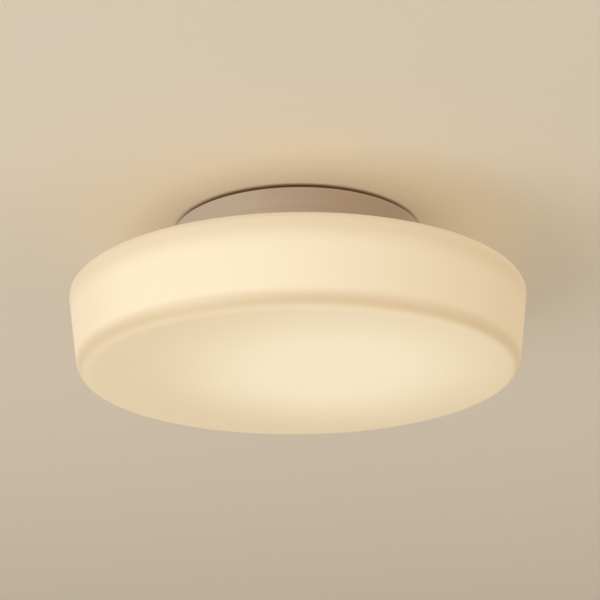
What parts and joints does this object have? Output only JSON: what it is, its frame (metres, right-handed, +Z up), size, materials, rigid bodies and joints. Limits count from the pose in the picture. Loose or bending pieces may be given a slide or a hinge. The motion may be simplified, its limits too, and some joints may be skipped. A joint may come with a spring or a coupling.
{
  "type": "flush mount ceiling light",
  "caption": "Flush ceiling light: an opal glass drum held by its neck under a small round nickel canopy, with a screw-in lamp lying inside.",
  "frame": {"origin": "on the ceiling plane, midway between the two slots that take the ceiling screws", "axes": "+Z points up into the ceiling, the lamp lies along X with its cap towards -X, and the pictured side faces -Y"},
  "size_m": [0.3, 0.3, 0.1039],
  "materials": {
    "satin_nickel": "satin",
    "opal_glass": "satin",
    "nickel": "satin",
    "soft_tip": "matte",
    "black_rubber": "matte",
    "zinc_steel": "satin",
    "porcelain": "gloss",
    "brass": "satin",
    "strip_plastic": "matte",
    "live_insulation": "matte",
    "neutral_insulation": "matte",
    "earth_insulation": "matte",
    "tinned_copper": "satin",
    "black_glass": "gloss",
    "cap_nickel": "satin",
    "white_plastic": "satin",
    "board_white": "matte",
    "led_phosphor": "satin",
    "board_green": "matte",
    "capacitor_sleeve": "satin",
    "coil_tape": "matte"
  },
  "bodies": {
    "canopy": {"canopy": "satin_nickel", "cable_grommet": "black_rubber", "clamp_bushes": "nickel", "holder_bracket": "zinc_steel", "bracket_rivets": "zinc_steel", "lampholder_body": "porcelain", "lampholder_shell": "brass", "lampholder_contact": "brass", "lampholder_terminals": "brass", "lampholder_terminal_screws": "zinc_steel", "lampholder_screws": "zinc_steel", "terminal_strip": "strip_plastic", "terminal_tubes": "brass", "terminal_clamp_screws": "zinc_steel", "strip_screws": "zinc_steel", "earth_washer": "zinc_steel", "earth_tag": "brass", "earth_screw": "zinc_steel", "live_lead": "live_insulation", "neutral_lead": "neutral_insulation", "earth_lead": "earth_insulation", "lead_ferrules": "tinned_copper"},
    "diffuser": {"diffuser_glass": "opal_glass"},
    "screw_a_travel": {"thumbscrew_tip_a": "soft_tip"},
    "screw_a": {"thumbscrew_stud_a": "nickel", "thumbscrew_head_a": "nickel"},
    "screw_b_travel": {"thumbscrew_tip_b": "soft_tip"},
    "screw_b": {"thumbscrew_stud_b": "nickel", "thumbscrew_head_b": "nickel"},
    "screw_c_travel": {"thumbscrew_tip_c": "soft_tip"},
    "screw_c": {"thumbscrew_stud_c": "nickel", "thumbscrew_head_c": "nickel"},
    "bulb_travel": {"bulb_contact": "tinned_copper"},
    "bulb": {"bulb_insulator": "black_glass", "bulb_screw_cap": "cap_nickel", "bulb_housing": "white_plastic", "bulb_dome": "white_plastic", "bulb_led_board": "board_white", "bulb_leds": "led_phosphor", "bulb_driver_board": "board_green", "bulb_capacitor": "capacitor_sleeve", "bulb_coil": "coil_tape"}
  },
  "joints": [
    {"name": "diffuser_lower", "type": "slide", "parent": "canopy", "child": "diffuser", "axis": [0, 0, -1], "range_m": [0, 0.12]},
    {"name": "screw_a_travel", "type": "slide", "parent": "canopy", "child": "screw_a_travel", "axis": [0, 1, 0], "range_m": [0, 0.0049]},
    {"name": "screw_a_turn", "type": "hinge", "parent": "screw_a_travel", "child": "screw_a", "pos_m": [0, 0.09, -0.0323], "axis": [0, 1, 0], "range_deg": [0, 2520]},
    {"name": "screw_b_travel", "type": "slide", "parent": "canopy", "child": "screw_b_travel", "axis": [-0.866, -0.5, 0], "range_m": [0, 0.0049]},
    {"name": "screw_b_turn", "type": "hinge", "parent": "screw_b_travel", "child": "screw_b", "pos_m": [-0.07794, -0.045, -0.0323], "axis": [-0.866, -0.5, 0], "range_deg": [0, 2520]},
    {"name": "screw_c_travel", "type": "slide", "parent": "canopy", "child": "screw_c_travel", "axis": [0.866, -0.5, 0], "range_m": [0, 0.0049]},
    {"name": "screw_c_turn", "type": "hinge", "parent": "screw_c_travel", "child": "screw_c", "pos_m": [0.07794, -0.045, -0.0323], "axis": [0.866, -0.5, 0], "range_deg": [0, 2520]},
    {"name": "bulb_travel", "type": "slide", "parent": "canopy", "child": "bulb_travel", "axis": [1, 0, 0], "range_m": [0, 0.0136]},
    {"name": "bulb_turn", "type": "hinge", "parent": "bulb_travel", "child": "bulb", "pos_m": [0, 0, -0.052], "axis": [1, 0, 0], "range_deg": [0, 1350]}
  ],
  "couplings": [
    {"joint": "screw_a_turn", "follows": "screw_a_travel", "rad_per_m": 8976},
    {"joint": "screw_b_turn", "follows": "screw_b_travel", "rad_per_m": 8976},
    {"joint": "screw_c_turn", "follows": "screw_c_travel", "rad_per_m": 8976},
    {"joint": "bulb_turn", "follows": "bulb_travel", "rad_per_m": 1731.4}
  ]
}
